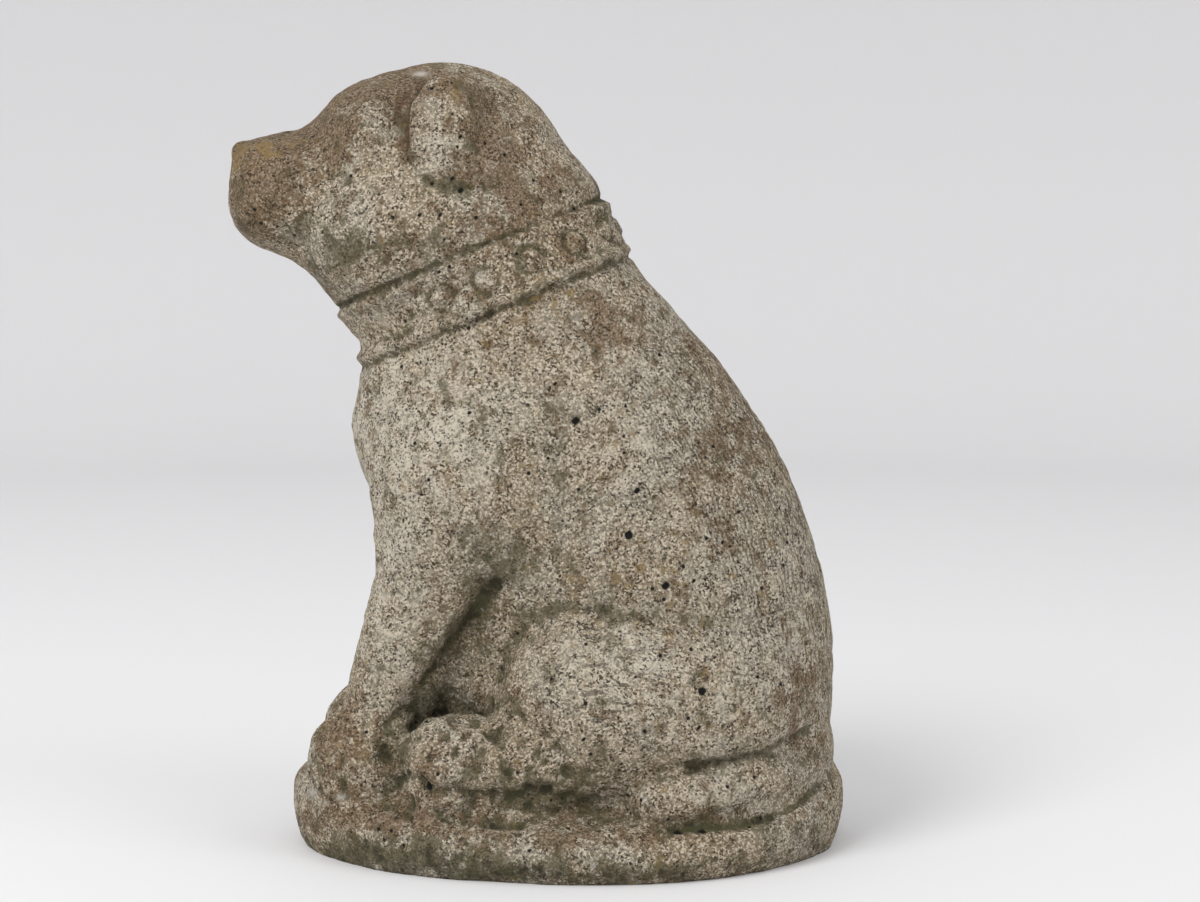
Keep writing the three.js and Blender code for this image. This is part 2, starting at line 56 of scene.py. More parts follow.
# Sizes in millimetres, as in the solid. The base is widest at BASE_BELT of its
# height and BASE_WIDEST behind its middle.
HEIGHT = 400.0
BASE_HEIGHT = 32.0
BASE_LENGTH = 285.0
BASE_WIDTH = 213.0
BASE_EDGE_RADIUS = 13.0
BASE_UNDERCUT = 6.0
BASE_CROWN = 8.0
BASE_SIDE_DROP = 18.0
BASE_WIDEST = 14.0
BASE_BELT = 0.55
COLLAR_WIDTH = 28.5
COLLAR_RELIEF = 2.0
RIM_RELIEF = 1.0
RIM_WIDTH = 3.8
STUD_COUNT = 16
STUD_DIAMETER = 11.0

# Height of a stud before wear, more than the solid's 1.8. Towards the throat the
# studs fade between these angles from the nape, in radians.
STUD_RELIEF = 2.4
STUDS_FADE = (2.1, 2.4)

# The figure is 92 units high above the base, and its forms are in units.
FIGURE_UNITS = 92
U = (HEIGHT - BASE_HEIGHT) / FIGURE_UNITS

# Size of a mesh cell, how many of them a block of the first search holds, and
# how many points are worked out at a time.
CELL = 2.0
BLOCK = 5
CHUNK = 200000

# Rows up the trunk: height, chest, back and half width, in units.
TRUNK = np.array([
    [-10, -12.0, 32.6, 18.5],
    [0, -14.0, 33.3, 19.5],
    [12, -18.0, 34.3, 20.3],
    [24, -21.6, 33.5, 19.6],
    [36, -24.5, 30.0, 18.3],
    [41, -26.8, 27.7, 17.7],
    [46, -27.7, 24.9, 17.0],
    [51, -26.8, 21.5, 16.3],
    [56, -26.0, 17.8, 15.4],
    [66, -22.0, 8.5, 14.2],
    [74, -18.0, 1.0, 12.0],
])
TRUNK_SQUARENESS = 2.25
TRUNK_PINCH = 0.3

# Share that brings the trunk's field near to true distances.
TRUNK_SLOPE = 0.93

TAIL_PIECES = 8
TAIL_FROM = -6
TAIL_TURN = 82


def at(x, y, z):
    """A point of the figure in units, as millimetres."""
    return np.array([x * U, y * U, BASE_HEIGHT + z * U])


NECK_LEAN = np.radians(22.6)
COLLAR_AT = at(0, -9.8, 64.6)
NECK_AXIS = np.array([0, -np.sin(NECK_LEAN), np.cos(NECK_LEAN)])
NECK_BACK = np.array([0, np.cos(NECK_LEAN), np.sin(NECK_LEAN)])


# Helpers for fields

def smooth_step(value, start, end):
    t = np.clip((value - start) / (end - start), 0, 1)
    return t * t * (3 - 2 * t)


def bump(distance, width):
    return np.exp(-(distance / width) ** 2)


def blend(a, b, k):
    """The lesser of two fields, rounded over k units where they meet."""
    width = k * U
    h = np.maximum(width - np.abs(a - b), 0) / width
    return np.minimum(a, b) - h * h * width / 4


def egg(p, centre, radii, tilt=0.0, power=2.0):
    """An ellipsoid, squarer with power over 2, tilted about X by degrees."""
    q = p - centre
    cos, sin = np.cos(np.radians(tilt)), np.sin(np.radians(tilt))
    q = np.stack([q[:, 0], cos * q[:, 1] + sin * q[:, 2], cos * q[:, 2] - sin * q[:, 1]], 1)
    r = np.array(radii) * U
    share = np.abs(q / r)
    reach = np.maximum((share ** power).sum(1) ** (1 / power), 1e-6)
    slope = np.sqrt(((share ** (power - 1) / r) ** 2).sum(1)) / reach ** (power - 1)
    return (reach - 1) / np.maximum(slope, 1e-6)


def limb(p, a, b, radius_a, radius_b, spread=1.0):
    """A round limb from a to b; spread widens it in X."""
    scale = np.array([1 / spread, 1, 1])
    q, d = (p - a) * scale, (b - a) * scale
    t = np.clip(q @ d / (d @ d), 0, 1)
    away = np.linalg.norm(q - t[:, None] * d, axis=1)
    return away - (radius_a + (radius_b - radius_a) * t) * U


def near_line(p, points):
    """Distance to a line through points."""
    best = np.full(len(p), 1e9)
    for a, b in zip(points[:-1], points[1:]):
        best = np.minimum(best, limb(p, a, b, 0, 0))
    return best


def noise(p, size, seed):
    """Smooth noise between -1 and 1, with lumps about size millimetres."""
    table = np.random.default_rng(seed).uniform(-1, 1, 4096)
    q = p / size
    cell = np.floor(q).astype(np.int64)
    t = q - cell
    t = t * t * (3 - 2 * t)
    total = np.zeros(len(p))
    for corner in np.ndindex(2, 2, 2):
        n = cell + corner
        key = (n[:, 0] * 73856093) ^ (n[:, 1] * 19349663) ^ (n[:, 2] * 83492791)
        weight = np.prod(np.where(corner, t, 1 - t), axis=1)
        total += weight * table[key % 4096]
    return total


# The plain form

def trunk_column(z, column):
    heights, values = TRUNK[:, 0], TRUNK[:, column]
    slopes = np.array([
        (values[min(i + 1, len(values) - 1)] - values[max(i - 1, 0)])
        / (heights[min(i + 1, len(values) - 1)] - heights[max(i - 1, 0)])
        for i in range(len(values))
    ])
    i = np.clip(np.searchsorted(heights, z) - 1, 0, len(heights) - 2)
    h = heights[i + 1] - heights[i]
    t = np.clip((z - heights[i]) / h, 0, 1)
    s = 1 - t
    return ((1 + 2 * t) * s * s * values[i] + t * s * s * h * slopes[i]
            + t * t * (3 - 2 * t) * values[i + 1] - t * t * s * h * slopes[i + 1])


def trunk(p):
    """Chest, flanks and back: a squarish oval at every height."""
    row = (p[:, 2] - BASE_HEIGHT) / U
    chest, back, half = (trunk_column(row, column) * U for column in (1, 2, 3))
    depth = (back - chest) / 2
    along = p[:, 1] - (chest + back) / 2
    pinch = TRUNK_PINCH * (1 - smooth_step(row, 22, 40))
    half = half * (1 - pinch * np.clip(-along / depth, 0, 1))
    n = TRUNK_SQUARENESS
    reach = (np.abs(p[:, 0] / half) ** n + np.abs(along / depth) ** n) ** (1 / n)
    reach = np.maximum(reach, 1e-4)
    side = np.hypot(p[:, 0], along) * (1 - 1 / reach) * TRUNK_SLOPE
    low, high = TRUNK[0, 0], TRUNK[-1, 0]
    cap = np.abs(row - (low + high) / 2) - (high - low) / 2
    return np.maximum(side, cap * U)


def base(p):
    """The oval base: widest behind the middle, rounded edge, crowned top."""
    along = p[:, 1] - BASE_WIDEST
    semi = np.where(along < 0, BASE_LENGTH / 2 + BASE_WIDEST, BASE_LENGTH / 2 - BASE_WIDEST)
    reach = np.maximum(np.hypot(p[:, 0] / (BASE_WIDTH / 2), along / semi), 1e-4)
    crown = BASE_HEIGHT + BASE_CROWN - BASE_SIDE_DROP * (p[:, 0] / (BASE_WIDTH / 2)) ** 2
    belt = crown * BASE_BELT
    inset = BASE_UNDERCUT * (np.maximum(belt - p[:, 2], 0) / belt) ** 2
    side = np.hypot(p[:, 0], along) * (1 - 1 / reach) + inset + BASE_EDGE_RADIUS
    over = p[:, 2] - crown + BASE_EDGE_RADIUS
    rounded = np.hypot(np.maximum(side, 0), np.maximum(over, 0)) - BASE_EDGE_RADIUS
    return rounded + np.minimum(np.maximum(side, over), 0)


def tail_point(t):
    turn = np.radians(TAIL_FROM + TAIL_TURN * t)
    return at(21.4 * np.sin(turn), 5 + 25.4 * np.cos(turn), 4.9 - 3.5 * t)


def tail(p):
    d = np.full(len(p), 1e9)
    for i in range(TAIL_PIECES):
        start, end = i / TAIL_PIECES, (i + 1) / TAIL_PIECES
        thick = (4.1 - 0.8 * start, 4.1 - 0.8 * end)
        d = np.minimum(d, limb(p, tail_point(start), tail_point(end), *thick))
    return d


def head(p, m):
    """Skull, brow, cheeks and muzzle; m is p with x made positive."""
    skull = egg(p, at(0, -15.8, 72.5), (15.3, 17.1, 19.5))
    forehead = egg(p, at(0, -22.2, 79.6), (12.4, 10.4, 11.0), 0, 2.1)
    cheek = egg(m, at(7.6, -22.5, 70.5), (7, 9, 8))
    jaw = limb(p, at(0, -36.4, 74), at(0, -24.4, 67.8), 6, 6, 1.35)
    muzzle = egg(p, at(0, -34.4, 75.6), (10.4, 8.6, 6.7), -3, 2.8)
    bridge = limb(p, at(0, -38.2, 79.3), at(0, -28, 79.5), 3.1, 5.2, 1.6)
    brow = egg(m, at(6.9, -24, 82.4), (6.3, 5.2, 5.8))
    nose = egg(p, at(0, -40.8, 79.7), (3.7, 2.2, 2.4), 0, 2.6)
    d = blend(skull, forehead, 1.6)
    d = blend(d, cheek, 3)
    d = blend(d, blend(blend(muzzle, jaw, 1.4), bridge, 1.4), 3)
    d = blend(d, brow, 2.2)
    return blend(d, nose, 0.8)


def ears(m):
    flap = egg(m, at(11.9, -14.9, 82.4), (3, 5, 6.2), 8, 2.3)
    root = egg(m, at(9.6, -14.6, 87), (3.2, 4.6, 3))
    fold = limb(m, at(14, -19.4, 79.5), at(11.2, -18.2, 87.5), 0.8, 0.8)
    return blend(blend(flap, root, 2), fold, 0.6)


def neck(p):
    throat = limb(p, at(0, -8, 60.9), at(0, -11.3, 68.6), 17, 16.4, 0.88)
    nape = egg(p, at(0, -8.6, 72.8), (11, 13, 9.5))
    return blend(throat, nape, 2)


def fore_leg(m):
    leg = limb(m, at(9.2, -13.5, 36), at(10, -22.8, 11.5), 8.6, 5.2)
    paw = egg(m, at(10.4, -25, 3.8), (6.4, 7.8, 7.4), 0, 2.2)
    return blend(leg, paw, 1.6)


def haunch(m):
    knee = egg(m, at(12.8, 3.8, 11.5), (11, 12.8, 12.4), 0, 2.15)
    thigh = egg(m, at(10.2, 14.5, 11.6), (11.4, 14.5, 12), 0, 2.15)
    return blend(knee, thigh, 5)


def plain_form(p):
    """Dog and base with no carving. All but the tail is the same on both sides."""
    m = mirrored(p)
    d = blend(trunk(p), egg(p, at(0, -5, 10), (12.4, 17.5, 20)), 3)
    d = blend(d, egg(m, at(10, -11.8, 38), (7.9, 11.8, 15), -14), 5)
    d = blend(d, fore_leg(m), 3)
    d = blend(d, haunch(m), 2.2)
    d = blend(d, neck(p), 2.4)
    d = blend(d, head(p, m), 1)
    d = blend(d, limb(m, at(16, -14.4, 4.4), at(17.4, -2, 4.6), 6.2, 5.4), 1.6)
    d = blend(d, ears(m), 0.8)
    d = blend(d, base(p), 2.4)
    return blend(d, tail(p), 1)


def mirrored(p):
    m = p.copy()
    m[:, 0] = np.abs(m[:, 0])
    return m


# The carving, as heights over the plain form

def collar_frame(p):
    """Height up the neck, distance from its axis and angle round it."""
    q = p - COLLAR_AT
    behind = q @ NECK_BACK
    return q @ NECK_AXIS, np.hypot(q[:, 0], behind), np.arctan2(q[:, 0], behind)


def collar(p):
    """A worn strap with a rim along each edge and round studs."""
    up, out, angle = collar_frame(p)
    half = COLLAR_WIDTH / 2
    worn = 0.5 + 0.5 * noise(p, 14, 3)
    up = up + 1.0 * noise(p, 9, 4) + 0.4 * noise(p, 4, 6)
    strap = smooth_step(up, -half - 1, -half + 1) * (1 - smooth_step(up, half - 1, half + 1))
    upper = bump(up - half + RIM_WIDTH / 2, RIM_WIDTH / 2.2)
    lower = bump(up + half - RIM_WIDTH / 2, RIM_WIDTH / 2.2)
    inner_line = -0.7 * bump(up + half - RIM_WIDTH - 1.4, 1.2)
    edges = -1.3 * bump(up - half - 1.8, 1.8) - 1.0 * bump(up + half + 1.8, 1.8)
    stud_wear = 0.7 + 0.4 * smooth_step(noise(p, 24, 5), -0.3, 0.5)
    stud_wear = stud_wear * (1 - 0.75 * smooth_step(np.abs(angle), *STUDS_FADE))
    pitch = 2 * np.pi / STUD_COUNT
    off = angle - np.round(angle / pitch) * pitch
    away = np.hypot(off * out, up) / (STUD_DIAMETER / 2)
    dome = np.sqrt(np.maximum(1 - away ** 2, 0))
    moat = -1.1 * bump(away - 1.14, 0.26)
    height = (COLLAR_RELIEF * strap + RIM_RELIEF * (upper + lower) * (0.2 + 1.2 * worn)
              + inner_line + edges + (STUD_RELIEF * dome + moat) * stud_wear)
    return np.where((np.abs(up) < half + 8) & (out < 26 * U), height, 0)


def furrow(p, points, depth, width):
    return -depth * bump(near_line(p, [at(*point) for point in points]), width)


def face(m):
    mouth = furrow(m, [(0, -44, 72.2), (6, -43, 71.6), (10.5, -38, 70.2), (11.5, -31.5, 69)], 2.4, 2.6)
    lip = furrow(m, [(0, -44.5, 79), (0, -44.5, 73)], 2.2, 2.2)
    nostril = -3.0 * bump(np.linalg.norm(m - at(2.0, -43.4, 79.6), axis=1), 3.0)
    stop = furrow(m, [(7, -28.4, 88.6), (10, -28.9, 84), (11.4, -28.2, 80), (12, -27, 77)], 1.2, 3.2)
    return mouth + lip + nostril + stop


def ear_carving(m):
    front = [(10.6, -17, 89.8), (12.2, -18.2, 87.6), (12.6, -19.6, 85.6), (13, -20.2, 83.6),
             (13.8, -19.8, 81.6), (14.4, -19.2, 79.4)]
    behind = [(12.4, -13, 88.2), (13, -10.8, 85.8), (13.4, -10, 83.6), (14.1, -10.6, 80.8)]
    under = [(14.3, -18.6, 78.4), (14.8, -17, 76.8), (15, -15, 75.8), (14.6, -11.8, 76.2)]
    return furrow(m, front, 3.4, 3) + furrow(m, behind, 2.4, 5.4) + furrow(m, under, 1.3, 3.6)


def toes(m, middle, spread, top, front, foot):
    height = np.zeros(len(m))
    for out in spread:
        points = [(middle + out * 0.75, *top), (middle + out, *front), (middle + out, *foot)]
        height += furrow(m, points, 2.2, 2.8)
    return height


def outer_toes(m):
    """Furrows on the outer side of each forepaw."""
    back = furrow(m, [(13.2, -26.4, 10), (15.8, -27.6, 6), (16.4, -27.6, 1)], 2.0, 2.6)
    front = furrow(m, [(12, -29.4, 9), (14.2, -30.6, 5), (14.6, -30.8, 1)], 2.0, 2.6)
    return back + front


def rough_feet(p, m):
    """The hind feet are broken and lumpy."""
    near = smooth_step(-limb(m, at(16, -16, 5), at(18, -6, 5), 9, 9), 0, 6)
    return near * (2.3 * noise(p, 9, 41) + 1.4 * noise(p, 4.5, 42))


def leg_and_haunch(m):
    """Behind the foreleg, over the haunch and round the hind foot."""
    leg = [(16, -9, 26.8), (14, -12.3, 22), (13.6, -15.6, 17), (14.6, -19.4, 12), (16, -22, 7)]
    over = [(15, -8.4, 15.6), (15, -7.3, 19.5), (16.4, -4.6, 22.8), (18, -0.8, 24.6),
            (19.4, 6, 24.6), (18.6, 17, 22.6)]
    foot = [(19, -20, 4.2), (22, -16.6, 2.8), (22.4, -8, 2.2), (22.4, 1, 1.8), (23.6, 7, 2)]
    heel = [(19.4, -9.6, 11), (21.8, -8.2, 8.4), (22.8, -7.4, 5)]
    height = furrow(m, leg, 4, 6) + furrow(m, over, 3, 6)
    return height + furrow(m, foot, 3, 4.5) + furrow(m, heel, 2, 4)


def tail_edges(p):
    over = [(20.8, 15, 5.4), (19, 21, 6.6), (16.4, 26, 7.5), (12, 30.2, 8.2)]
    under = [(23, 13, -1.5), (21, 21, -1.6), (18.4, 25.4, -1),
             (15.6, 28.6, -0.4), (10, 32, 0.8)]
    return furrow(p, over, 3.0, 3.4) + furrow(p, under, 2.8, 3.2)


def weathering(p):
    """Uneven hand-worked and worn surface, coarse to fine."""
    rough = 0.9 * noise(p, 34, 21) + 0.55 * noise(p, 13, 22) + 0.38 * noise(p, 6.5, 23)
    return rough + 0.25 * noise(p, 3.6, 24)


def carving(p):
    m = mirrored(p)
    height = weathering(p)
    upper = p[:, 2] > 0.55 * HEIGHT
    lower = p[:, 2] < 0.24 * HEIGHT
    height[upper] += collar(p[upper]) + face(m[upper]) + ear_carving(m[upper])
    height[lower] += toes(m[lower], 10.4, (-3.1, 0, 3.1), (-29.6, 11), (-32.4, 7), (-33.2, 1))
    height[lower] += toes(m[lower], 15.8, (-2.8, 0.8, 4), (-17.4, 11), (-20.4, 7.4), (-20.8, 2))
    height[lower] += tail_edges(p[lower]) + outer_toes(m[lower]) + rough_feet(p[lower], m[lower])
    low = p[:, 2] < 0.4 * HEIGHT
    height[low] += leg_and_haunch(m[low])
    return height


# The mesh

def in_chunks(function, *arrays):
    """The function's result for long arrays, worked out a part at a time."""
    starts = range(0, len(arrays[0]), CHUNK)
    return np.concatenate([function(*[array[i:i + CHUNK] for array in arrays]) for i in starts])


def field_on_grid(low, shape):
    """The plain form on a grid, worked out only in blocks near the surface."""
    step = CELL * BLOCK
    blocks = np.array([(n - 1) // BLOCK + 1 for n in shape])
    corners = np.stack(np.meshgrid(*[np.arange(n + 1) for n in blocks], indexing="ij"), -1)
    rough = in_chunks(plain_form, low + step * corners.reshape(-1, 3)).reshape(blocks + 1)
    nearest = np.full(blocks, 1e9)
    sign = rough[:-1, :-1, :-1]
    for corner in np.ndindex(2, 2, 2):
        part = rough[tuple(slice(c, c + n) for c, n in zip(corner, blocks))]
        nearest = np.minimum(nearest, np.abs(part))
    close = nearest < step * 1.3
    values = np.where(sign < 0, -step, step).astype(float)
    for axis in range(3):
        values = np.repeat(values, BLOCK, axis)
        close = np.repeat(close, BLOCK, axis)
    values = values[tuple(slice(0, n) for n in shape)].copy()
    close = close[tuple(slice(0, n) for n in shape)]
    index = np.argwhere(close)
    values[close] = in_chunks(plain_form, low + CELL * index)
    return values


def shifted(offset, shape):
    """The part of a grid that starts offset steps in."""
    return tuple(slice(o, o + n) for o, n in zip(offset, shape))


def net_points(values, inside, low):
    """The middle of the surface in each cell that it crosses, and each cell's number."""
    cells = np.array(values.shape) - 1
    total = np.zeros((*cells, 3))
    count = np.zeros(cells)
    for axis in range(3):
        others = [b for b in range(3) if b != axis]
        for side in np.ndindex(2, 2):
            near = np.zeros(3, int)
            near[others] = side
            far = near.copy()
            far[axis] = 1
            a, b = shifted(near, cells), shifted(far, cells)
            cross = inside[a] != inside[b]
            share = np.where(cross, values[a] / np.where(cross, values[a] - values[b], 1), 0)
            for k in range(3):
                total[..., k] += cross * near[k] + (share if k == axis else 0)
            count += cross
    active = count > 0
    names = np.full(active.shape, -1)
    names[active] = np.arange(active.sum())
    points = low + CELL * (np.argwhere(active) + total[active] / count[active][:, None])
    return points, names


def net_faces(inside, names):
    """A four-sided face round each grid edge that the surface crosses."""
    faces = []
    for axis in range(3):
        u, v = (axis + 1) % 3, (axis + 2) % 3
        near, far = [slice(None)] * 3, [slice(None)] * 3
        near[axis], far[axis] = slice(0, -1), slice(1, None)
        edges = np.argwhere(inside[tuple(near)] != inside[tuple(far)])
        edges = edges[(edges[:, u] > 0) & (edges[:, v] > 0)]
        corners = []
        for du, dv in ((0, 0), (1, 0), (1, 1), (0, 1)):
            cell = edges.copy()
            cell[:, u] -= du
            cell[:, v] -= dv
            corners.append(names[tuple(cell.T)])
        quads = np.stack(corners, 1)
        leaving = inside[tuple(edges.T)]
        quads[~leaving] = quads[~leaving][:, ::-1]
        faces.append(quads)
    return np.concatenate(faces)


def nets(values, low):
    """A mesh over the surface where the grid's values change sign."""
    inside = values < 0
    points, names = net_points(values, inside, low)
    return points, net_faces(inside, names)


def slope_of(function, p, e=0.5):
    g = np.zeros_like(p)
    for k in range(3):
        d = np.zeros(3)
        d[k] = e
        g[:, k] = (function(p + d) - function(p - d)) / (2 * e)
    return g


def settle(p):
    """Points moved on to the plain form."""
    for _ in range(2):
        g = slope_of(plain_form, p)
        step = (plain_form(p) / np.maximum((g * g).sum(1), 0.05))[:, None] * g
        size = np.linalg.norm(step, axis=1)
        p = p - step * np.minimum(1, CELL / np.maximum(size, 1e-9))[:, None]
    return p


def outward(p):
    """The direction straight out of the plain form at each point."""
    g = slope_of(plain_form, p)
    return g / np.maximum(np.linalg.norm(g, axis=1), 1e-9)[:, None]


def hollowness(p, normal):
    """0 on open surface, up to 1 deep in a recess. It places algae, brown patina and painted shade in
    the recesses.
    """
    total = np.zeros(len(p))
    for reach in (5.0, 11.0, 22.0):
        total += np.clip(1 - plain_form(p + normal * reach) / reach, 0, 1) / 3
    return total


# The weathering with painted light and shade, as soft spots seen in the photo

# Where the photo was taken from, in millimetres, and its picture size.
EYE = np.array([1250.0, 16.5, 305.0])
PHOTO_WIDTH, PHOTO_HEIGHT = 1200, 902
FOCAL_PIXELS = 2430.0
HORIZON_ROW = 250.0
PITCH = np.arctan((PHOTO_HEIGHT / 2 - HORIZON_ROW) / FOCAL_PIXELS)


def photo_place(p):
    """Column and row of the photo where each point is seen."""
    away, under = EYE[0] - p[:, 0], EYE[2] - p[:, 2]
    depth = away * np.cos(PITCH) + under * np.sin(PITCH)
    fall = under * np.cos(PITCH) - away * np.sin(PITCH)
    column = PHOTO_WIDTH / 2 + (p[:, 1] - EYE[1]) * FOCAL_PIXELS / depth
    row = PHOTO_HEIGHT / 2 + fall * FOCAL_PIXELS / depth
    return np.stack([column, row], 1)


def spots(place, marks):
    """Sum of soft oval spots: column, row, half width, half height, strength."""
    total = np.zeros(len(place))
    for column, row, wide, high, strength in marks:
        share = ((place[:, 0] - column) / wide) ** 2 + ((place[:, 1] - row) / high) ** 2
        total += strength * np.exp(-share)
    return total


# Bubble holes left by the casting: column, row and radius in the photo.
HOLES = [
    (577, 421, 5), (554, 385, 3), (638, 491, 4), (628, 536, 5), (664, 584, 5),
    (693, 582, 3), (739, 511, 3), (723, 544, 3), (616, 548, 2.5), (439, 444, 2.5),
    (561, 575, 2.5), (667, 472, 2.5), (634, 517, 2.5), (704, 692, 5), (701, 730, 3),
    (583, 739, 3), (677, 833, 5), (701, 832, 5), (403, 847, 3), (531, 852, 3),
    (365, 731, 3), (428, 787, 5), (432, 89, 3), (461, 137, 3), (460, 190, 4),
    (431, 183, 3), (454, 177, 3), (439, 213, 3), (420, 216, 3), (504, 156, 3),
    (534, 180, 3), (574, 208, 3), (567, 224, 2.5), (521, 206, 3), (542, 207, 2.5),
    (443, 240, 2.5), (378, 193, 2.5),
]

# Millimetres of a hole's radius for each pixel of it, and the greatest depth.
HOLE_SCALE = 0.43
HOLE_DEEPEST = 1.8

# On the hidden sides, holes at random, with radii in millimetres between these.
EXTRA_HOLES = 150
EXTRA_RADII = (0.9, 1.7)

# Distance between the combed lines along the back, in millimetres.
COMB_SPACING = 2.3

# Pale worn stone and painted light, brown patina and painted shade, dark algae and painted shade, and
# rust, as soft spots.
# Some pale spots are painted light: the lit ear lobe, the lit fold behind the ear and the chest.
PALE = [
    (375, 190, 45, 35, 0.5), (436, 140, 22, 26, 0.8), (382, 420, 44, 76, 1.8),
    (455, 440, 50, 90, 0.9), (650, 690, 70, 60, 0.8), (600, 650, 60, 30, 0.5),
    (440, 735, 45, 18, 0.5), (390, 600, 26, 64, 1.3), (640, 440, 50, 70, 0.8),
    (800, 610, 36, 70, 0.8), (720, 790, 60, 14, 0.5), (560, 350, 60, 40, 0.5),
    (700, 560, 50, 60, 0.5), (760, 700, 50, 50, 0.6), (500, 140, 12, 20, 0.6),
]
# Two brown spots are painted shade, behind the ear and under its lobe.
BROWN = [
    (400, 75, 70, 24, 1.0), (270, 155, 50, 30, 1.0), (330, 110, 40, 40, 1.0),
    (560, 190, 60, 40, 0.4), (730, 430, 50, 110, 0.45), (600, 330, 50, 50, 0.5),
    (800, 700, 30, 70, 0.4), (370, 815, 100, 22, 0.7), (600, 825, 150, 26, 0.55),
    (500, 160, 34, 44, 0.9), (466, 98, 20, 12, 0.9), (440, 770, 60, 16, 0.5),
    (340, 745, 40, 40, 0.8), (470, 235, 100, 24, 0.4), (460, 290, 100, 24, 0.3),
    (260, 190, 40, 50, 0.9), (486, 124, 14, 26, 1.3), (452, 176, 30, 8, 0.5),
]
# Most dark spots are painted shade and shadow with dark algae: behind the foreleg, under the ear, over
# and under the haunch, along the base's foot.
DARK = [
    (310, 250, 64, 24, 0.45), (350, 290, 40, 24, 0.6), (455, 187, 36, 10, 0.8),
    (480, 590, 30, 60, 0.7), (440, 660, 36, 60, 0.5), (395, 765, 14, 20, 0.5),
    (530, 785, 60, 18, 0.7), (500, 700, 16, 50, 0.6), (240, 185, 14, 20, 0.6),
    (600, 200, 14, 30, 0.7), (755, 760, 60, 10, 0.9), (765, 826, 60, 10, 0.7),
    (470, 245, 110, 14, 0.5), (400, 855, 110, 20, 1.3), (520, 560, 60, 40, 0.5),
    (545, 470, 40, 50, 0.1), (600, 875, 200, 14, 0.7), (360, 255, 60, 30, 0.5),
    (580, 770, 60, 20, 0.6), (620, 615, 70, 10, 0.5),
]
WHITE = [
    (421, 74, 7, 2.5, 1.0), (340, 797, 4, 3, 0.9), (312, 793, 4, 3, 0.9),
    (326, 803, 3, 2, 0.8), (481, 276, 5, 5, 0.4),
]
RUST = [
    (407, 114, 10, 26, 1.0), (424, 88, 12, 10, 0.9), (409, 144, 6, 14, 0.6),
    (512, 92, 16, 8, 0.3),
]
OCHRE = [
    (262, 146, 34, 8, 1.3), (238, 165, 10, 20, 1.0), (455, 100, 20, 12, 0.5),
    (500, 330, 60, 30, 0.4), (560, 300, 40, 30, 0.4), (340, 760, 30, 30, 0.3),
    (640, 590, 110, 90, 0.3), (320, 75, 20, 14, 0.4),
]
COMBED = [
    (750, 470, 90, 160, 1.3), (680, 390, 60, 80, 0.7), (800, 620, 50, 80, 1.0),
]
STROKED = [
    (630, 690, 120, 80, 1.0), (430, 420, 90, 90, 0.5), (600, 520, 70, 70, 0.5),
]
POROUS = [
    (430, 765, 60, 40, 1.0), (480, 190, 60, 50, 0.5), (345, 740, 40, 30, 0.4),
    (400, 250, 120, 30, 0.4),
]


def press_holes(p, normal, place):
    """Pushes small bubble holes into the stone.

    Gives the moved points and how far each one is down a hole, 0 to 1; the holes are later painted
    near black as their shade.
    """
    depth = np.zeros(len(p))
    near_side = (normal[:, 0] > 0.1) & (p[:, 0] > 0)
    for column, row, radius in HOLES:
        away = np.hypot(place[:, 0] - column, place[:, 1] - row)
        away = np.where(near_side, away, 1e3)
        centre = p[np.argmin(away)]
        reach = np.linalg.norm(p - centre, axis=1) / (radius * HOLE_SCALE)
        depth = np.maximum(depth, bump(reach, 1) * min(radius * 0.4, HOLE_DEEPEST))
    seeds = RNG.choice(np.flatnonzero(~near_side & (p[:, 2] > 12)), EXTRA_HOLES, replace=False)
    for seed in seeds:
        radius = RNG.uniform(*EXTRA_RADII)
        close = np.linalg.norm(p - p[seed], axis=1) / radius
        depth = np.maximum(depth, bump(close, 1) * radius * 0.6)
    return p - normal * depth[:, None], np.clip(depth / 1.6, 0, 1)


def sculpt():
    """The finished surface: points, faces and what the stone is like at each point."""
    box_low, box_high = (np.array(corner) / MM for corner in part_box(NODE))
    low = np.array([box_low[0], box_low[1], -CELL * 1.5]) - [3 * CELL, 3 * CELL, 0]
    shape = tuple(np.ceil((box_high - low) / CELL).astype(int) + 4)
    points, faces = nets(field_on_grid(low, shape), low)
    points = in_chunks(settle, points)
    normal = in_chunks(outward, points)
    hollow = in_chunks(hollowness, points, normal)
    height = in_chunks(carving, points)
    moved = points + normal * height[:, None]
    place = photo_place(mirrored(moved))
    moved, hole = press_holes(moved, normal, place)
    moved = np.clip(moved, box_low, box_high)
    cavity = cavities(height, faces)
    marks = stone_marks(moved, place, hollow, cavity, hole)
    return moved, faces, marks


def cavities(height, faces):
    """How far each point lies below the height of the points round it, 0 to 1. It places painted shade
    and algae in the carved grooves.
    """
    ends = np.concatenate([faces, np.roll(faces, 1, axis=1)])
    a, b = ends[:len(faces)].ravel(), ends[len(faces):].ravel()
    near = np.maximum(np.bincount(a, minlength=len(height)), 1)
    smooth = height
    for _ in range(6):
        across = np.bincount(a, smooth[b], len(height)) + np.bincount(b, smooth[a], len(height))
        smooth = across / (2 * near)
    return np.clip((smooth - height) / 0.7, 0, 1)


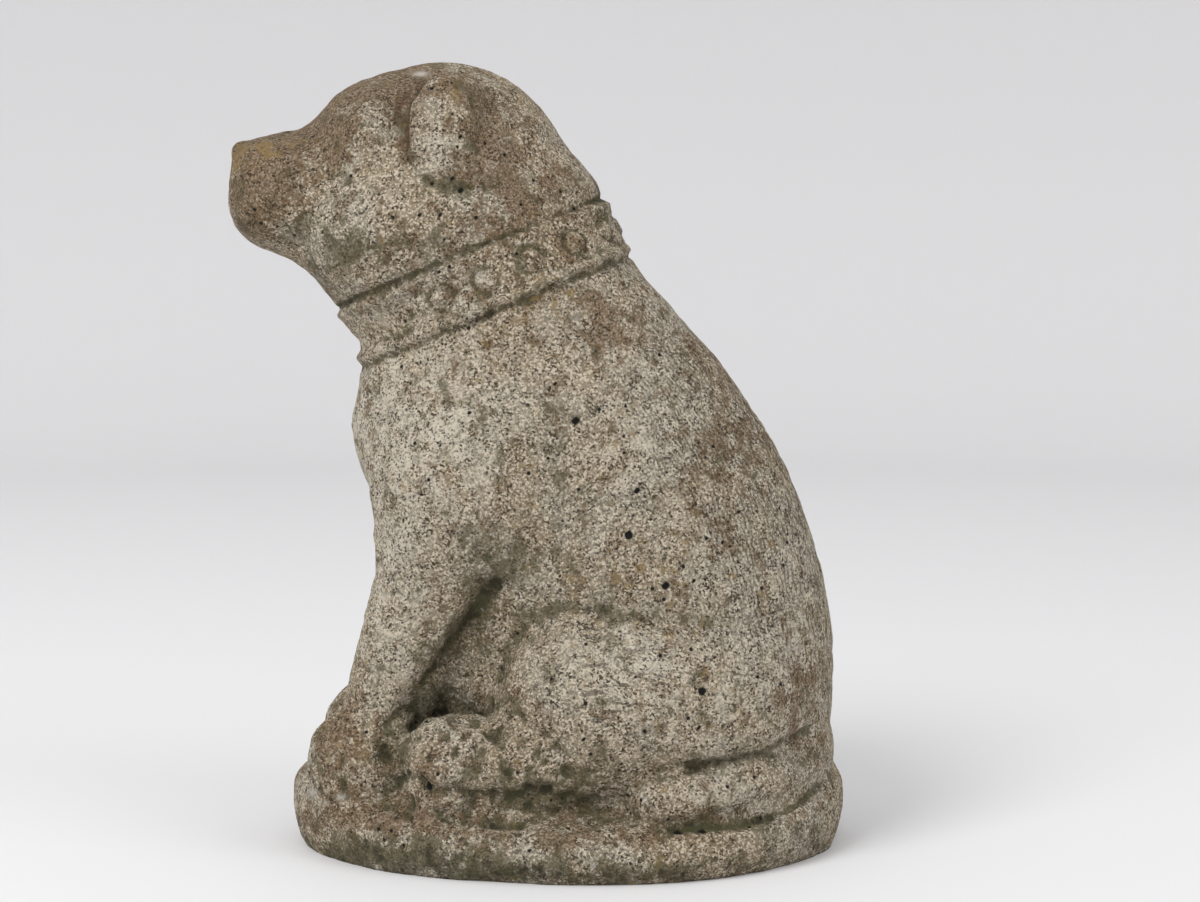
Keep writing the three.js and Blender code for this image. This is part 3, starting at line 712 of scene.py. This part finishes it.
def stone_marks(p, place, hollow, cavity, hole):
    """The colour and texture guides, each 0 to 1 but for comb, at every point.

    On the head the hollows are painted brown, patina and painted shade, rather than algae and painted
    shade.
    """
    wobble = place + 10 * np.stack([noise(p, 16, 31), noise(p, 16, 32)], 1)
    far = np.where(p[:, 0] > 0, 1.0, 0.6)
    patch = 0.5 + 0.5 * noise(p, 22, 33)
    back_line = trunk_column((p[:, 2] - BASE_HEIGHT) / U, 2) * U
    on_head = smooth_step(p[:, 2], 0.8 * HEIGHT, 0.88 * HEIGHT)
    hollow = np.clip(hollow, 0, 1)
    # hollow, cavity and dark paint shade into recesses, grooves and shadows, with algae; pale also
    # paints light and brown also paints shade.
    return {
        "hollow": hollow * (1 - 0.7 * on_head),
        "cavity": cavity,
        "white": np.clip(spots(place, WHITE), 0, 1) * (p[:, 0] > 0),
        "hole": hole,
        "pale": np.clip(spots(wobble, PALE) * far, 0, 1),
        "brown": np.clip(spots(wobble, BROWN) * far + 1.2 * hollow * on_head, 0, 1),
        "dark": np.clip(spots(wobble, DARK) * (0.5 + patch), 0, 1),
        "ochre": np.clip(spots(wobble, OCHRE) * far, 0, 1),
        "rust": np.clip(spots(wobble, RUST) * far, 0, 1),
        "damp": 1 - smooth_step(p[:, 2], 4, 24),
        "porous": np.clip(spots(place, POROUS) + 0.8 * (p[:, 2] < 34), 0, 1),
        "stroked": np.clip(spots(place, STROKED), 0, 1),
        "combed": np.clip(spots(place, COMBED), 0, 1) * (p[:, 2] > 60),
        "comb": (p[:, 1] - back_line) / COMB_SPACING,
    }


# The stone's colours, in linear light, and its fine patterns

GROUND = (0.365, 0.288, 0.186)
GROUND_COOL = (0.390, 0.345, 0.262)
PALE_STONE = (0.70, 0.64, 0.52)
PALE_GRAIN = (0.79, 0.70, 0.555)
BROWN_STONE = (0.188, 0.112, 0.052)
# Brown of grain gaps and tool marks, and also the painted shade in carved grooves.
BROWN_GRAIN_AND_GROOVE_SHADE = (0.055, 0.038, 0.024)
# The algae colours also paint shade in hollows, grooves and dark spots, and the dark one in pores.
OLIVE_ALGAE_AND_SHADE = (0.115, 0.098, 0.050)
DARK_ALGAE_AND_SHADE = (0.040, 0.035, 0.020)
GREEN_ALGAE_AND_SHADE = (0.085, 0.085, 0.038)
OCHRE_LICHEN = (0.33, 0.22, 0.08)
WHITE_LICHEN = (0.66, 0.62, 0.54)
RUST_STAIN = (0.125, 0.062, 0.030)
# Painted near black as the shade inside holes and bubbles.
PAINTED_HOLE_SHADE = (0.012, 0.011, 0.009)


class Nodes:
    """Short names for the shader nodes of one material."""

    def __init__(self, material):
        material.use_nodes = True
        self.tree = material.node_tree
        self.place = self.tree.nodes.new("ShaderNodeTexCoord").outputs["Object"]

    def link(self, value, socket):
        if isinstance(value, bpy.types.NodeSocket):
            self.tree.links.new(value, socket)
        else:
            socket.default_value = value

    def attribute(self, name):
        node = self.tree.nodes.new("ShaderNodeAttribute")
        node.attribute_name = name
        return node.outputs["Fac"]

    def math(self, kind, a, b=0.0):
        node = self.tree.nodes.new("ShaderNodeMath")
        node.operation = kind
        self.link(a, node.inputs[0])
        self.link(b, node.inputs[1])
        return node.outputs[0]

    def add(self, *values):
        total = values[0]
        for value in values[1:]:
            total = self.math("ADD", total, value)
        return total

    def times(self, *values):
        total = values[0]
        for value in values[1:]:
            total = self.math("MULTIPLY", total, value)
        return total

    def noise(self, size, detail=3.0, rough=0.6, place=None):
        """Cloudy noise, 0 to 1, with lumps about size millimetres."""
        node = self.tree.nodes.new("ShaderNodeTexNoise")
        self.link(self.place if place is None else place, node.inputs["Vector"])
        node.inputs["Scale"].default_value = 1 / (size * MM)
        node.inputs["Detail"].default_value = detail
        node.inputs["Roughness"].default_value = rough
        return node.outputs["Fac"]

    def strokes(self, size):
        """Noise drawn out into short slanting strokes on the flanks."""
        node = self.tree.nodes.new("ShaderNodeMapping")
        self.link(self.place, node.inputs["Vector"])
        node.inputs["Rotation"].default_value = (np.radians(14), 0, 0)
        node.inputs["Scale"].default_value = (1.0, 0.22, 1.0)
        return self.noise(size, 4, 0.7, node.outputs["Vector"])

    def scattered(self, size, output):
        """Cells round scattered points that are about size millimetres apart."""
        node = self.tree.nodes.new("ShaderNodeTexVoronoi")
        self.link(self.place, node.inputs["Vector"])
        node.inputs["Scale"].default_value = 1 / (size * MM)
        return node.outputs[output]

    def cells(self, size):
        """Small crisp patches, each with a value of its own about 0.5."""
        return self.scattered(size, "Color")

    def dots(self, size, inner, outer):
        """Scattered round dots, 1 inside and 0 outside; radii in cells."""
        return self.below(self.scattered(size, "Distance"), inner, outer)

    def between(self, value, low, high):
        """0 below low and 1 above high, smooth between."""
        node = self.tree.nodes.new("ShaderNodeMapRange")
        node.interpolation_type = "SMOOTHSTEP"
        self.link(value, node.inputs["Value"])
        node.inputs["From Min"].default_value = low
        node.inputs["From Max"].default_value = high
        return node.outputs["Result"]

    def below(self, value, low, high):
        """1 below low and 0 above high, smooth between."""
        return self.math("SUBTRACT", 1.0, self.between(value, low, high))

    def mix_colour(self, a, b, share):
        node = self.tree.nodes.new("ShaderNodeMix")
        node.data_type = "RGBA"
        self.link(share, node.inputs[0])
        self.link((*a, 1) if isinstance(a, tuple) else a, node.inputs[6])
        self.link((*b, 1) if isinstance(b, tuple) else b, node.inputs[7])
        return node.outputs[2]


def comb_waves(n):
    """The chisel's combed lines along the back, -1 to 1."""
    wander = n.add(n.times(n.noise(16), 2.4), n.times(n.noise(5, 3, 0.6), 1.5))
    turns = n.add(n.attribute("comb"), wander)
    return n.math("SINE", n.times(turns, 2 * np.pi))


def worn_stone(n):
    """Bare cement with paler patches, worn stone and painted light, and brown patina with painted
    shade. Gives the colour and where the brown lies.
    """
    cool = n.between(n.noise(34, 3), 0.4, 0.6)
    colour = n.mix_colour(GROUND, GROUND_COOL, cool)
    # Pale spots: worn stone and painted light.
    pale = n.times(n.attribute("pale"), n.between(n.noise(10, 5, 0.7), 0.38, 0.58))
    colour = n.mix_colour(colour, PALE_STONE, pale)
    # Brown: patina, and painted shade behind and under the ear and in the head's hollows.
    ragged = n.add(n.times(n.attribute("brown"), 0.22), n.noise(12, 6, 0.75))
    brown = n.between(ragged, 0.52, 0.66)
    return n.mix_colour(colour, BROWN_STONE, n.times(brown, 0.8)), brown


def add_grains(n, colour, brown):
    """Light sand grains where the stone is bare, and dark gaps between them."""
    bare = n.math("SUBTRACT", 1.0, n.times(brown, 0.7))
    sand = n.add(n.times(n.cells(0.9), 0.45), n.times(n.noise(1.7, 4, 0.8), 0.55))
    light = n.between(sand, 0.53, 0.62)
    colour = n.mix_colour(colour, PALE_GRAIN, n.times(light, bare, 0.85))
    patchy = n.times(n.between(n.noise(8, 5, 0.75), 0.44, 0.56), 0.6)
    deep = n.times(n.below(sand, 0.37, 0.47), n.add(0.38, patchy))
    return n.mix_colour(colour, BROWN_GRAIN_AND_GROOVE_SHADE, deep)


def add_tool_marks_and_groove_shade(n, colour, comb):
    """Brown grime in the combed lines and in short strokes, and painted shade along the carved grooves
    and edges.
    """
    broken = n.between(n.noise(7, 4, 0.7), 0.42, 0.57)
    combed = n.times(n.between(comb, 0.0, 0.8), n.attribute("combed"), broken)
    colour = n.mix_colour(colour, BROWN_GRAIN_AND_GROOVE_SHADE, n.times(combed, 0.62))
    strokes = n.times(n.between(n.strokes(3.0), 0.54, 0.61), n.attribute("stroked"))
    colour = n.mix_colour(colour, BROWN_GRAIN_AND_GROOVE_SHADE, n.times(strokes, 0.7))
    # Painted shade where the carving sinks below the points round it.
    patchy = n.between(n.noise(6, 4, 0.7), 0.42, 0.6)
    groove_shade = n.times(n.between(n.attribute("cavity"), 0.3, 1.0), patchy, 0.4)
    return n.mix_colour(colour, BROWN_GRAIN_AND_GROOVE_SHADE, groove_shade)


def add_algae_and_shade(n, colour):
    """Olive and darker algae, mostly in the hollows and low down, with painted shade in the hollows,
    grooves and dark spots.
    """
    # Hollows, dark spots and grooves add painted shade along with the algae.
    recess = n.add(
        n.times(n.attribute("hollow"), 0.21),
        n.times(n.attribute("dark"), 0.17),
        n.times(n.attribute("cavity"), 0.19),
        n.times(n.attribute("damp"), 0.10),
    )
    olive_algae_and_shade = n.between(n.add(n.times(recess, 0.8), n.noise(13, 6, 0.78)), 0.55, 0.68)
    colour = n.mix_colour(colour, OLIVE_ALGAE_AND_SHADE, n.times(olive_algae_and_shade, 0.76))
    algae = n.mix_colour(DARK_ALGAE_AND_SHADE, GREEN_ALGAE_AND_SHADE, n.between(n.noise(18, 4), 0.42, 0.58))
    dark_algae_and_shade = n.between(n.add(recess, n.noise(5, 6, 0.8)), 0.66, 0.86)
    return n.mix_colour(colour, algae, n.times(dark_algae_and_shade, 0.85))


def add_stains(n, colour):
    """Ochre lichen and rust."""
    spotted = n.add(n.noise(7, 5, 0.75), n.times(n.attribute("ochre"), 0.19))
    ochre = n.between(spotted, 0.6, 0.69)
    colour = n.mix_colour(colour, OCHRE_LICHEN, n.times(ochre, 0.6))
    rust = n.times(n.attribute("rust"), n.between(n.noise(5, 4, 0.7), 0.38, 0.56))
    return n.mix_colour(colour, RUST_STAIN, n.times(rust, 0.8))


def pores_and_bubbles(n):
    """How much of a pore each place is, and the crisper round bubbles among them."""
    pits = n.times(n.dots(6.5, 0.16, 0.26), n.attribute("porous"))
    pits = n.times(pits, n.between(n.noise(9, 3), 0.44, 0.52))
    small = n.times(n.dots(2.1, 0.12, 0.28), n.between(n.noise(12, 3), 0.45, 0.55))
    bubbles = n.times(n.dots(10, 0.075, 0.115), n.between(n.noise(26, 2), 0.44, 0.5))
    pores = n.math("MAXIMUM", n.dots(5.5, 0.07, 0.15), pits)
    return n.math("MAXIMUM", n.math("MAXIMUM", pores, small), bubbles), bubbles


def stone_colour(n, comb, pores, bubbles):
    """Layers from the bare cement up: pores painted dark as their shade, then white lichen, and last
    holes and bubbles painted near black as their shade.
    """
    colour, brown = worn_stone(n)
    colour = add_grains(n, colour, brown)
    colour = add_tool_marks_and_groove_shade(n, colour, comb)
    colour = add_algae_and_shade(n, colour)
    colour = add_stains(n, colour)
    # Pores painted dark as their shade.
    colour = n.mix_colour(colour, DARK_ALGAE_AND_SHADE, n.times(pores, 0.85))
    flecks = n.times(n.between(n.noise(9, 4, 0.6), 0.68, 0.72), 0.5)
    white = n.math("MAXIMUM", flecks, n.attribute("white"))
    colour = n.mix_colour(colour, WHITE_LICHEN, white)
    # Holes and bubbles painted near black as their shade.
    hole = n.between(n.attribute("hole"), 0.25, 0.55)
    return n.mix_colour(colour, PAINTED_HOLE_SHADE, n.math("MAXIMUM", hole, n.times(bubbles, 0.9)))


def stone_material():
    material = bpy.data.materials.new("weathered_cast_stone")
    n = Nodes(material)
    surface = n.tree.nodes["Principled BSDF"]
    comb = comb_waves(n)
    pores, bubbles = pores_and_bubbles(n)
    n.link(stone_colour(n, comb, pores, bubbles), surface.inputs["Base Color"])
    n.link(n.add(0.88, n.times(n.noise(5), 0.12)), surface.inputs["Roughness"])
    surface.inputs["Specular IOR Level"].default_value = 0.25
    comb = n.times(comb, n.attribute("combed"), n.between(n.noise(14), 0.35, 0.6))
    height = n.add(
        n.times(n.noise(6, 6, 0.75), 4.5),
        n.times(n.noise(1.8, 4, 0.75), 2.0),
        n.times(comb, 0.6),
        n.times(pores, -0.9),
    )
    relief = n.tree.nodes.new("ShaderNodeBump")
    relief.inputs["Strength"].default_value = 1.0
    relief.inputs["Distance"].default_value = 1.0 * MM
    n.link(height, relief.inputs["Height"])
    n.link(relief.outputs["Normal"], surface.inputs["Normal"])
    return material


def make_statue():
    points, faces, marks = sculpt()
    mesh = bpy.data.meshes.new("statue_surface")
    mesh.from_pydata((points * MM).tolist(), [], faces.tolist())
    for name, values in marks.items():
        layer = mesh.attributes.new(name, "FLOAT", "POINT")
        layer.data.foreach_set("value", values.astype(np.float32))
    mesh.update()
    cut_flat(mesh)
    mesh.polygons.foreach_set("use_smooth", [True] * len(mesh.polygons))
    statue = bpy.data.objects.new("statue", mesh)
    bpy.context.scene.collection.objects.link(statue)
    mesh.materials.append(stone_material())
    return statue


def cut_flat(mesh):
    """The flat underside: the mesh cut off at the floor and closed."""
    cut = bmesh.new()
    cut.from_mesh(mesh)
    everything = [*cut.verts, *cut.edges, *cut.faces]
    made = bmesh.ops.bisect_plane(
        cut, geom=everything, dist=1e-6, plane_co=(0, 0, 0), plane_no=(0, 0, -1), clear_outer=True
    )
    rim = [edge for edge in made["geom_cut"] if isinstance(edge, bmesh.types.BMEdge)]
    bmesh.ops.contextual_create(cut, geom=rim)
    cut.to_mesh(mesh)
    cut.free()


# The studio, in metres

FLOOR_RADIUS = 2.2
BEND = 0.9
BEND_STEPS = 16
ROUND_STEPS = 96
WALL_HEIGHT = 1.7

# The wall is darker than the floor, since the lights meet it more squarely.
FLOOR_COLOUR = (0.76, 0.755, 0.76)
WALL_COLOUR = (0.70, 0.69, 0.695)

# Place, width and power of the two soft lights, and the point that they face.
KEY_LIGHT = ((1.7, -1.53, 2.42), 1.53, 58)
FILL_LIGHT = ((1.6, 2.4, 1.97), 2.2, 31)
LIT_POINT = (0, 0, 0.18)
SKY_COLOUR = (0.98, 0.99, 1.0, 1)
SKY_STRENGTH = 0.74


def backdrop_profile():
    """Radius and height from the middle of the floor out and up the wall."""
    profile = [(0.0, 0.0), (FLOOR_RADIUS, 0.0)]
    for i in range(1, BEND_STEPS + 1):
        turn = np.pi / 2 * i / BEND_STEPS
        profile.append((FLOOR_RADIUS + BEND * np.sin(turn), BEND - BEND * np.cos(turn)))
    return [*profile, (FLOOR_RADIUS + BEND, WALL_HEIGHT)]


def backdrop_material():
    material = bpy.data.materials.new("pale_floor")
    n = Nodes(material)
    surface = n.tree.nodes["Principled BSDF"]
    surface.inputs["Roughness"].default_value = 0.9
    split = n.tree.nodes.new("ShaderNodeSeparateXYZ")
    n.link(n.place, split.inputs["Vector"])
    up = n.between(split.outputs["Z"], 0.0, BEND)
    n.link(n.mix_colour(FLOOR_COLOUR, WALL_COLOUR, up), surface.inputs["Base Color"])
    return material


def make_backdrop():
    """A pale round floor that curves up into a low wall all round."""
    profile = backdrop_profile()
    turns = 2 * np.pi * np.arange(ROUND_STEPS) / ROUND_STEPS
    corners = [(r * np.cos(a), r * np.sin(a), z) for r, z in profile for a in turns]
    faces = []
    for ring in range(len(profile) - 1):
        low, high = ring * ROUND_STEPS, (ring + 1) * ROUND_STEPS
        for i in range(ROUND_STEPS):
            after = (i + 1) % ROUND_STEPS
            faces.append((low + i, high + i, high + after, low + after))
    mesh = bpy.data.meshes.new("backdrop")
    mesh.from_pydata(corners, [], faces)
    mesh.polygons.foreach_set("use_smooth", [True] * len(mesh.polygons))
    mesh.materials.append(backdrop_material())
    backdrop = bpy.data.objects.new("backdrop", mesh)
    bpy.context.scene.collection.objects.link(backdrop)
    return backdrop


def make_light(name, place, size, power):
    light = bpy.data.lights.new(name, "AREA")
    light.shape, light.size, light.energy = "DISK", size, power
    lamp = bpy.data.objects.new(name, light)
    lamp.location = place
    lamp.rotation_euler = (Vector(LIT_POINT) - Vector(place)).to_track_quat("-Z", "Y").to_euler()
    bpy.context.scene.collection.objects.link(lamp)


def make_studio():
    make_backdrop()
    make_light("key", *KEY_LIGHT)
    make_light("fill", *FILL_LIGHT)
    world = bpy.data.worlds.new("studio")
    world.use_nodes = True
    sky = world.node_tree.nodes["Background"]
    sky.inputs["Color"].default_value = SKY_COLOUR
    sky.inputs["Strength"].default_value = SKY_STRENGTH
    bpy.context.scene.world = world
    bpy.context.scene.view_settings.view_transform = "Standard"


def make_camera():
    camera = bpy.data.cameras.new("photo_camera")
    camera.sensor_width = 36
    camera.lens = camera.sensor_width * FOCAL_PIXELS / PHOTO_WIDTH
    holder = bpy.data.objects.new("photo_camera", camera)
    holder.location = EYE * MM
    holder.rotation_euler = (np.pi / 2 - PITCH, 0, np.pi / 2)
    bpy.context.scene.collection.objects.link(holder)
    bpy.context.scene.camera = holder


statue = make_statue()
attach(statue, "root")
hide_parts(NODE)
make_studio()
make_camera()
